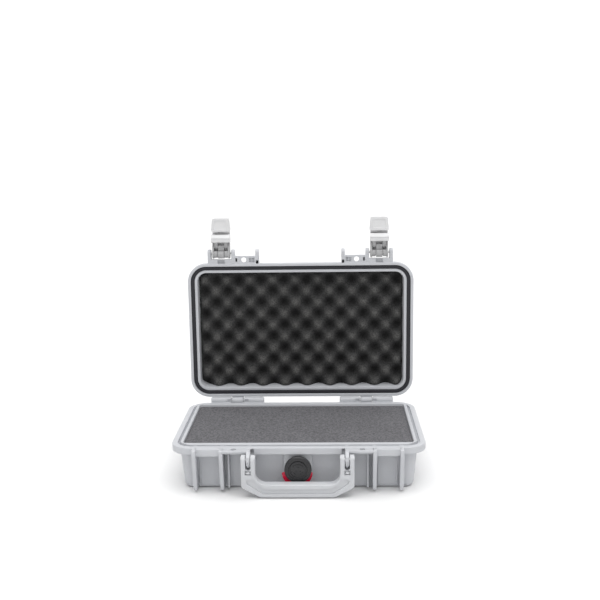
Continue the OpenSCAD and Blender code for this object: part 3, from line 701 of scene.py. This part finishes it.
def lid_step():
    """The low step between the latch ribs, with a web across its notch."""
    low, high = LID_Z + 0.6, LID_Z + RIM_H - 1.5
    web_t = 2
    root = FRONT + PLATE_ROOT
    outline = rounded([(FRONT - STEP_REACH, low), (root, low), (root, high), (FRONT - STEP_REACH, high)],
                      [0.8, 0, 0, 0.8])
    web = [(FRONT - 5, high - web_t), (root, high - web_t), (root, high), (FRONT - 5, high)]
    return ([prism(outline, "x", latch_x + a, latch_x + b, 0.5)
             for a, b in ((-BAY_W / 2 - 1, -STEP_NOTCH_W / 2), (STEP_NOTCH_W / 2, BAY_W / 2 + 1))]
            + [prism(web, "x", latch_x - 5, latch_x + 5, 0)])


def lid_knuckle():
    arm = [(BACK - 5, LID_Z + RIM_H - 1), (hinge_y - 1, LID_Z + RIM_H - 1.5),
           (hinge_y + KNUCKLE_R * 0.7, hinge_z + KNUCKLE_R * 0.6), (hinge_y, hinge_z),
           (BACK - 2, LID_Z + 1.6)]
    return knuckle(HINGE_X - LID_KNUCKLE / 2, HINGE_X + LID_KNUCKLE / 2, arm)


def lid_plate():
    """The lid's padlock plate, with a blind slot beside its rib and two square pockets."""
    middle = FRONT - PADLOCK_REACH
    pocket_top = LID_Z + 2.7
    slot_low, slot_high = RIB_FACE - 3.2, RIB_FACE - 1
    boss = box_piece((RIB_FACE - 4.6, middle - 3.6, LID_Z + 0.4 + PLATE_T - 0.5),
                     (RIB_FACE + 1.5, middle + 3.6, LID_Z + 10.6), 0.5)
    slot = box_piece((slot_low, middle - 2.4, LID_Z - 2), (slot_high, middle + 2.4, LID_Z + 9), 0)
    pockets = [box_piece((ARM_X + LUG_T / 2 + a, middle - 2.8, LID_Z - 2),
                         (ARM_X + LUG_T / 2 + b, middle + 2.8, pocket_top), 0)
               for a, b in ((1, 4.1), (4.9, 8))]
    plate = combined(padlock_plate(LID_Z + 0.4), [slot.copy()] + pockets)
    return [plate, combined(boss, [slot])]


def top_rails():
    top = LID_Z + LID_H
    half = RAIL_W / 2
    return [box_piece((RAIL_X, y - half, top - 1), (RAIL_X + RAIL_LEN, y + half, top + 1.7), 0.7, 3)
            for y in (-RAIL_Y, RAIL_Y)]


def make_lid_shell():
    top = LID_Z + LID_H
    panel = box_piece((-PANEL_X, -PANEL_Y, top - 0.8), (PANEL_X, PANEL_Y, top + 2), 0.3)
    shell = combined(sweep(lid_section()), [panel])
    side = [lid_rib(latch_x + BAY_W / 2, RIB_T), lid_rib(RIB_FACE, RIB_T), lid_rib(ARM_X - LUG_T / 2, LUG_T)]
    side += lid_step() + lid_knuckle() + lid_plate() + top_rails()
    piece = new_piece("lid_shell_visual", moved(joined([shell] + both_sides(side)), OPEN_LID), SHELL)
    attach(piece, "lid")
    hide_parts("lid_shell")


def make_gasket():
    play = 0.1
    proud = 2.2
    a, b = LIP_W + play, LIP_W + SEAL_W - play
    face = SEAL_DEPTH - proud
    profile = [(a, SEAL_DEPTH), (a, face + 0.9)] + arc((a + 0.9, face + 0.9), 0.9, 180, 270, 4)
    profile += arc((b - 0.9, face + 0.9), 0.9, 270, 360, 4) + [(b, SEAL_DEPTH)]
    bm = sweep([(i, q + LID_Z) for i, q in profile], closed=True)
    piece = new_piece("lid_gasket_visual", moved(bm, OPEN_LID), SEAL)
    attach(piece, "lid")
    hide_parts("lid_gasket")


# ---------------------------------------------------------------- foam

def soft_block(low, high, inset_low, inset_high, edge):
    """A foam block between two heights, with a soft top edge."""
    top_edge = arc((inset_high + edge, high - edge), edge, 180, 90, 4)
    return sweep([(inset_low + 2, low, CAVITY_C), (inset_low, low, CAVITY_C)]
                 + [(i, z, CAVITY_C) for i, z in top_edge] + [(inset_high + 4, high, CAVITY_C)])


def make_base_foam():
    gap = 0.4
    block = soft_block(block_low.z, block_high.z, base_inner(block_low.z) + gap,
                       base_inner(block_high.z) + gap, 0.8)
    pad = soft_block(pad_low.z, pad_high.z, base_inner(pad_low.z) + gap + 1,
                     base_inner(pad_high.z) + gap, 0.8)
    for name, bm, node in (("base_foam_block_visual", block, "base_foam_block"),
                           ("base_foam_pad_visual", pad, "base_foam_pad")):
        piece = new_piece(name, bm, BASE_FOAM)
        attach(piece, "base")
        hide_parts(node)


EGG_X = 29.5        # pitch of the foam's peaks along the lid
EGG_Z = 30.8        # pitch across it
EGG_X0 = 7.6        # a peak's place along the lid
EGG_Z0 = 14.3       # a peak's height above the table, with the lid open


def egg(x, z):
    """0 in a valley and 1 on a peak."""
    wave = cos(2 * pi * (x - EGG_X0) / EGG_X) * cos(2 * pi * (z - EGG_Z0) / EGG_Z)
    wobble = 0.1 * noise.noise(Vector((x, z, 3)) * 0.03)
    return min(max(0.5 + 0.5 * wave + wobble, 0), 1)


def make_lid_foam():
    """Convoluted foam: a grid over the lid's inside, with its rim carried back to a block."""
    step = 1.5
    front_y = lid_foam_low.y
    back_y = lid_foam_high.y
    half_w = (lid_foam_high.x - lid_foam_low.x) / 2
    mid_z = (lid_foam_low.z + lid_foam_high.z) / 2
    half_h = (lid_foam_high.z - lid_foam_low.z) / 2
    r = CORNER_R - lid_inner(6) - 0.4
    nx, nz = int(2 * half_w / step), int(2 * half_h / step)

    def place(i, j):
        """A grid point, pulled inside the rounded corner."""
        x, z = -half_w + 2 * half_w * i / nx, -half_h + 2 * half_h * j / nz
        ax, az = abs(x) - (half_w - r), abs(z) - (half_h - r)
        if ax > 0 and az > 0:
            reach = max(ax, az) / sqrt(ax * ax + az * az)
            x = (half_w - r + ax * reach) * (1 if x > 0 else -1)
            z = (half_h - r + az * reach) * (1 if z > 0 else -1)
        return x, z + mid_z

    bm = bmesh.new()
    grid = []
    for i in range(nx + 1):
        row = []
        for j in range(nz + 1):
            x, z = place(i, j)
            edge = min(i, nx - i, j, nz - j) * step
            dip = EGG_DEPTH * (1 - egg(x, z))
            rim = 1.2 * max(0, 1 - edge / 3) ** 2
            row.append(bm.verts.new((x, front_y + dip + rim, z)))
        grid.append(row)
    for i in range(nx):
        for j in range(nz):
            bm.faces.new((grid[i][j], grid[i + 1][j], grid[i + 1][j + 1], grid[i][j + 1]))
    border = ([grid[i][0] for i in range(nx)] + [grid[nx][j] for j in range(nz)]
              + [grid[i][nz] for i in range(nx, 0, -1)] + [grid[0][j] for j in range(nz, 0, -1)])
    squeeze = 0.985
    ring = [bm.verts.new((v.co.x * squeeze, back_y - 0.2, mid_z + (v.co.z - mid_z) * squeeze))
            for v in border]
    for k in range(len(border)):
        m = (k + 1) % len(border)
        bm.faces.new((border[k], ring[k], ring[m], border[m]))
    bm.faces.new(ring)
    piece = new_piece("lid_foam_visual", bm, LID_FOAM, 60)
    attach(piece, "lid")
    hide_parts("lid_foam")


# ---------------------------------------------------------------- handle

ARM_IN = ARM_X - ARM_W / 2
ARM_OUT = ARM_X + ARM_W / 2
LUG_GAP = 0.8
FORK_BOTTOM = handle_pivot_z - 11.6


def reflected(points):
    """The points on the other side of the middle, in reverse."""
    return [(-x, z) for x, z in reversed(points)]


def handle_outline():
    top = handle_pivot_z + HANDLE_T / 2
    outer = rounded([(ARM_OUT - 3, top), (ARM_OUT, top), (ARM_OUT, BAR_LOW + 12), (ARM_OUT - 23, BAR_LOW),
                     (ARM_OUT - 30, BAR_LOW)], [0, 1.5, 5, 8, 0], 5)
    inner = ([(ARM_IN, top)] + arc((ARM_IN - 12, BAR_TOP + 12), 12, 0, -90, 10))
    right = outer[:-1]
    inner_left = [(-x, z) for x, z in inner]
    return right + reflected(right) + inner_left + list(reversed(inner))


def channel_outline():
    """The shallow channel along the grip, which widens and turns up into each arm."""
    top = BAR_TOP + 6.5
    low = BAR_LOW + 4.8
    outer_x, inner_x = ARM_X + 2, ARM_X - 7.4
    outer = rounded([(ARM_X - 6, top), (outer_x, top), (outer_x, BAR_LOW + 17), (ARM_X - 16, low),
                     (ARM_X - 24, low)], [0, 3, 5, 8, 0], 5)
    inner = rounded([(ARM_X - 28, BAR_LOW + 10.4), (ARM_X - 17, BAR_LOW + 11), (inner_x, top - 3),
                     (inner_x, top), (ARM_X - 6, top)], [0, 8, 4, 2.5, 0], 5)
    right = outer[:-1]
    return right + reflected(right) + reflected(inner[:-1]) + inner[:-1]


def handle_side_profile():
    """The handle seen from its end: rounded below, and round about the pin on top."""
    half = HANDLE_T / 2
    y = handle_y
    low = rounded([(y - half, handle_pivot_z - 6), (y - half, BAR_LOW), (y + half, BAR_LOW),
                   (y + half, handle_pivot_z - 6)], [0, 2.4, 2.4, 0], 6)
    return low + arc((y, handle_pivot_z), half, 0, 180, 20)


def make_handle():
    half = HANDLE_T / 2
    front = handle_y - half
    body = prism(handle_outline(), "y", front, front + HANDLE_T, 1.7, 4)
    body = combined(body, [prism(handle_side_profile(), "x", -80, 80, 0)], "INTERSECT")
    half_gap = LUG_T / 2 + LUG_GAP
    top = handle_pivot_z + 20
    outline = [(ARM_X - half_gap, top), (ARM_X - half_gap, FORK_BOTTOM + 2.6), (ARM_X, FORK_BOTTOM - 0.4),
               (ARM_X + half_gap, FORK_BOTTOM + 2.6), (ARM_X + half_gap, top)]
    fork = prism(rounded(outline, [0, 1.2, 1.2, 1.2, 0]), "y", front - 3, front + HANDLE_T + 3, 0)
    channel = prism(channel_outline(), "y", front - 3, front + 1.6, 0)
    pocket_half = 3.4
    pocket = box_piece((ARM_X - pocket_half, front - 3, FORK_BOTTOM - 4.4),
                       (ARM_X + pocket_half, front + 2.8, FORK_BOTTOM + 1), 0)
    body = combined(body, [fork.copy(), mirrored(fork), channel, pocket.copy(), mirrored(pocket)])
    loop_low, loop_high = FORK_BOTTOM - 3.4, FORK_BOTTOM - 1.2
    loop = prism(rounded([(ARM_X - 2.4, loop_low), (ARM_X + 2.4, loop_low),
                          (ARM_X + 2.0, loop_high), (ARM_X - 2.0, loop_high)], 0.9, 4),
                 "y", front + 0.1, front + 3, 0.5, 3)
    piece = new_piece("handle_visual", joined([body] + both_sides([loop])), HANDLE)
    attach(piece, "handle")
    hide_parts("handle")


# ---------------------------------------------------------------- latches
# Built in the open latch's own frame: Z up along it from its pivot, -Y towards the viewer.

CHEEK_T = 2.2
DRUM_R = 6.8            # the lever's round end, about its pivot
PIVOT_R = 1.6           # hole for the pivot pin
BODY_W = 22.6
HOOK_BAR_FROM = 14.8    # lever pivot to the hook's cross bar
HOOK_LEN = 9.7          # of that bar, along the latch
HOOK_REACH = 9.9        # of that bar, towards the viewer
LEVER_W = 24.2
LEVER_LEN = 45.4
PLATE_BACK = 4.6        # inner face of the lever's back plate
SKIN = 2.2              # its thickness
HOOK_X = BODY_W / 2 - CHEEK_T - APART
HOOK_ARM_W = 4.6
CAP_FROM = HOOK_BAR_FROM + HOOK_LEN + 3.4       # start of the finger end
BLOCK_W = 2 * (HOOK_X - HOOK_ARM_W - APART)


def lever_cheek():
    outline = ([(-p[1], p[0]) for p in arc((0, 0), DRUM_R, 230, 70, 20)]
               + [(-2.6, HOOK_BAR_FROM - 4), (0, HOOK_BAR_FROM - 1),
                  (PLATE_BACK - 0.5, HOOK_BAR_FROM - 1), (PLATE_BACK - 0.5, 0.5)])
    return prism(outline, "x", BODY_W / 2 - CHEEK_T, BODY_W / 2, 0.4)


def lever_cap():
    """The finger end: a tapered block with soft edges and a shallow dished panel."""
    tip_w = LEVER_W - 2.6
    outline = rounded([(-LEVER_W / 2, CAP_FROM), (LEVER_W / 2, CAP_FROM), (LEVER_W / 2, CAP_FROM + 4),
                       (tip_w / 2, LEVER_LEN), (-tip_w / 2, LEVER_LEN), (-LEVER_W / 2, CAP_FROM + 4)],
                      [0.8, 0.8, 4, 3.2, 3.2, 4], 5)
    cap = prism(outline, "y", -3.2, PLATE_BACK + SKIN + 0.6, 0.9, 4)
    low, high = CAP_FROM + 3, LEVER_LEN - 3
    panel = rounded([(-8.6, low), (8.6, low), (7.8, high), (-7.8, high)], 2.5, 5)
    return combined(cap, [prism(panel, "y", -6, -2.7, 0.6, 3)])


def latch_block():
    """The lever's block between the hook's arms."""
    return box_piece((-BLOCK_W / 2, -2.2, 3), (BLOCK_W / 2, PLATE_BACK, 10.4), 0.5, 3)


def drum_part(x0, x1, r, top, bevel):
    """A slice of the round end, with the pivot pin's hole in it."""
    outline = [(-p[1], p[0]) for p in arc((0, 0), r, 230, 75, 20)]
    outline += [(1.2 - r, top), (PLATE_BACK - 0.5, top)]
    bore = rod("x", (-20, 0, 0), 40, PIVOT_R, 0, 32)
    return combined(prism(outline, "x", x0, x1, bevel), [bore])


def lever_drum():
    """The round end between the cheeks, in three parts with dark joints between them."""
    half = BODY_W / 2 - CHEEK_T
    joint_w = 0.7
    side_r = DRUM_R - 0.9
    return [drum_part(-half - 0.3, -BLOCK_W / 2 - joint_w, side_r, 3.2, 0.3),
            drum_part(-BLOCK_W / 2, BLOCK_W / 2, DRUM_R, 3.2, 0.3),
            drum_part(BLOCK_W / 2 + joint_w, half + 0.3, side_r, 3.2, 0.3),
            drum_part(-half, half, DRUM_R - 2.4, 3, 0)]


def make_lever(side, place):
    half = BODY_W / 2
    outer_y = PLATE_BACK + SKIN
    back = box_piece((-half, PLATE_BACK - 0.6, 3), (half, outer_y, LEVER_LEN - 5), 0.6, 3)
    tabs = [box_piece((-LEVER_W / 2 + 1.2, 1.4, CAP_FROM - 2.6), (-3.1, PLATE_BACK, CAP_FROM + 1), 0.3)]
    # the block, drum and cheeks take the darker copy: painted shade
    parts = [back, lever_cap()] + inside([latch_block()] + lever_drum() + both_sides([lever_cheek()]))
    for z in (8, 14, 20, 26):
        parts.append(box_piece((-7.5, outer_y - 0.3, z), (7.5, outer_y + 0.5, z + 1.6), 0.3))
    bm = moved(joined(parts + both_sides(tabs)), place)
    piece = new_piece("latch_lever_%s_visual" % side, bm, LATCH_PAINTED_LIGHT)
    piece.data.materials.append(LATCH_PAINTED_SHADE)
    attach(piece, "latch_lever_" + side)
    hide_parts("latch_lever_" + side)


def hook_arm():
    eye = 2.9
    outline = ([(-p[1], p[0]) for p in arc((HOOK_PIVOT, -0.8), eye, 300, 90, 12)]
               + [(-3.4, HOOK_BAR_FROM + 1), (3.4, HOOK_BAR_FROM + 1)])
    return prism(outline, "x", HOOK_X - HOOK_ARM_W, HOOK_X, 0.4)


def make_hook(side, place):
    top = HOOK_BAR_FROM + HOOK_LEN
    outline = [(3.4, HOOK_BAR_FROM), (-HOOK_REACH, HOOK_BAR_FROM), (-HOOK_REACH, top - 4.2),
               (-HOOK_REACH + 4.8, top), (3.4, top)]
    half = LEVER_W / 2
    bar = prism(rounded(outline, [0, 0.9, 1.2, 1.0, 0], 4), "x", -half, half, 0.6, 3)
    groove = box_piece((-half - 1, -HOOK_REACH - 1, top - 4.9), (half + 1, -HOOK_REACH + 0.5, top - 4.3), 0)
    # the hook arms take the darker copy: painted shade
    bm = moved(joined([combined(bar, [groove])] + inside(both_sides([hook_arm()]))), place)
    piece = new_piece("latch_hook_%s_visual" % side, bm, LATCH_PAINTED_LIGHT)
    piece.data.materials.append(LATCH_PAINTED_SHADE)
    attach(piece, "latch_hook_" + side)
    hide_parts("latch_hook_" + side)


def make_latches():
    for side, x in (("left", -latch_x), ("right", latch_x)):
        place = Matrix.Translation((x, latch_open_y, latch_open_z))
        make_lever(side, place)
        make_hook(side, place)


# ---------------------------------------------------------------- valve

VALVE_TURN = Matrix.Rotation(pi / 2, 4, "X")       # lathes stand along Z; the valve faces -Y


def arc_ridge(r0, r1, a, b, low, high):
    outline = arc((0, 0), r1, a, b, 16) + arc((0, 0), r0, b, a, 12)
    return prism(outline, "z", low, high, 0.25, 2)


def make_knob():
    r = (knob_high.x - knob_low.x) / 2
    t = knob_high.y - knob_low.y
    edge = [(0, 0), (r - 0.5, 0), (r, 0.5)] + arc((r - 1.3, t - 1.9), 1.3, 0, 90, 5)
    outer_ring = [(r - 2.2, t - 0.6), (r - 2.4, t), (r - 3.8, t), (r - 4.1, t - 1.3), (r - 5.2, t - 1.5)]
    inner_ring = [(r - 5.5, t - 0.5), (r - 6.0, t - 0.3), (r - 6.6, t - 0.5), (r - 6.9, t - 1.3)]
    profile = edge + outer_ring + inner_ring + [(0, t - 1.1)]
    face = t - 1.3
    parts = [lathe(profile, 96)]
    for a, b, r0, r1 in ((30, 150, 5.4, 6.7), (205, 245, 5.4, 6.7), (295, 335, 5.4, 6.7),
                         (60, 120, 2.6, 3.8), (200, 250, 2.4, 3.6), (290, 340, 2.4, 3.6)):
        parts.append(arc_ridge(r0, r1, a, b, face - 0.5, face + 0.9))
    place = Matrix.Translation((0, knob_high.y, VALVE_Z)) @ VALVE_TURN
    piece = new_piece("valve_knob_visual", moved(joined(parts), place), KNOB)
    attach(piece, "valve_knob")
    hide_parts("valve_knob")


def make_collar():
    low, high = node_box("valve_collar")
    outer = (high.x - low.x) / 2
    x, z = (low.x + high.x) / 2, low.z + outer
    reach = degrees(acos((high.z - z) / outer))
    start, end = 90 + reach, 450 - reach
    rim = arc((x, z), outer, start, end, 40)
    hollow = arc((0, VALVE_Z), 10, end - 8, start + 8, 24)
    band = prism(rim + hollow, "y", low.y, high.y, 0.7, 4)
    piece = new_piece("valve_collar_visual", band, COLLAR)
    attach(piece, "base")
    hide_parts("valve_collar")


def paint_nodes():
    """Materials of the CAD pieces that stay as they are."""
    for names, material in ((("hinge_pin", "handle_pin", "latch_pin", "hook_pin"), STEEL),
                            (("valve_washer", "valve_o_ring"), SEAL),
                            (("valve_body", "valve_nut", "valve_stem"), KNOB)):
        for node, piece in frame["nodes"].items():
            if node.startswith(names):
                piece.data.materials.clear()
                piece.data.materials.append(material)


# ---------------------------------------------------------------- stage

def make_stage():
    reach = 9000
    bm = bmesh.new()
    bmesh.ops.create_grid(bm, x_segments=2, y_segments=2, size=reach)
    material, tree, shader = node_material("pale floor")
    shader.inputs["Base Color"].default_value = (0.81, 0.81, 0.81, 1)
    shader.inputs["Roughness"].default_value = 0.9
    floor = new_piece("floor", bm, material)
    floor.location.z = min(cad_box[0][2], 0) - 0.0002


FRONT_LIGHT = 0.55      # strength of the world behind the viewer and to the sides
BACK_LIGHT = 1.1        # and behind the case


def make_world():
    """Even light all round, with a brighter backdrop behind the case."""
    world = bpy.data.worlds.new("studio")
    bpy.context.scene.world = world
    world.use_nodes = True
    tree = world.node_tree
    sky = tree.nodes["Background"]
    place = tree.nodes.new("ShaderNodeTexCoord")
    parts = tree.nodes.new("ShaderNodeSeparateXYZ")
    tree.links.new(place.outputs["Generated"], parts.inputs["Vector"])
    levels = tree.nodes.new("ShaderNodeMapRange")
    levels.inputs["From Min"].default_value = 0.0
    levels.inputs["From Max"].default_value = 0.7
    levels.inputs["To Min"].default_value = FRONT_LIGHT
    levels.inputs["To Max"].default_value = BACK_LIGHT
    tree.links.new(parts.outputs["Y"], levels.inputs["Value"])
    tree.links.new(levels.outputs["Result"], sky.inputs["Strength"])
    sky.inputs["Color"].default_value = (1, 1, 1, 1)


def area_light(name, place, target, size, watts):
    light = bpy.data.lights.new(name, "AREA")
    light.shape = "RECTANGLE"
    light.size, light.size_y = size
    light.energy = watts
    lamp = bpy.data.objects.new(name, light)
    bpy.context.scene.collection.objects.link(lamp)
    lamp.location = place
    lamp.rotation_euler = (Vector(target) - Vector(place)).to_track_quat("-Z", "Y").to_euler()


def make_lights():
    sun = bpy.data.lights.new("overhead", "SUN")
    sun.energy = 2.3
    sun.angle = radians(70)
    lamp = bpy.data.objects.new("overhead", sun)
    bpy.context.scene.collection.objects.link(lamp)
    lamp.rotation_euler = (radians(14), radians(4), 0)
    middle = (0, 0.02, 0.12)
    area_light("front", (-0.3, -1.7, 0.7), middle, (1.2, 0.8), 1.8)


def make_camera():
    """Low and a little to the right, turned as the picture is."""
    target = Vector((0.0021, 0, 0.09))
    distance, azimuth, elevation = 1.118, radians(1.73), radians(16.16)
    tilt_up, roll = radians(5.86), radians(-0.78)
    away = Vector((sin(azimuth) * cos(elevation), -cos(azimuth) * cos(elevation), sin(elevation)))
    camera = bpy.data.cameras.new("camera")
    camera.sensor_width = 36
    camera.lens = 54.9
    camera.clip_start, camera.clip_end = 0.05, 60
    seat = bpy.data.objects.new("camera", camera)
    bpy.context.scene.collection.objects.link(seat)
    turn = (Matrix.Rotation(azimuth, 4, "Z") @ Matrix.Rotation(pi / 2 - (elevation - tilt_up), 4, "X")
            @ Matrix.Rotation(roll, 4, "Z"))
    seat.matrix_world = Matrix.Translation(target + away * distance) @ turn
    bpy.context.scene.camera = seat


make_camera()
make_stage()
make_world()
make_lights()
make_base_shell()
make_lid_shell()
make_gasket()
make_base_foam()
make_lid_foam()
make_handle()
make_latches()
make_knob()
make_collar()
paint_nodes()

bpy.context.scene.view_settings.view_transform = "Standard"
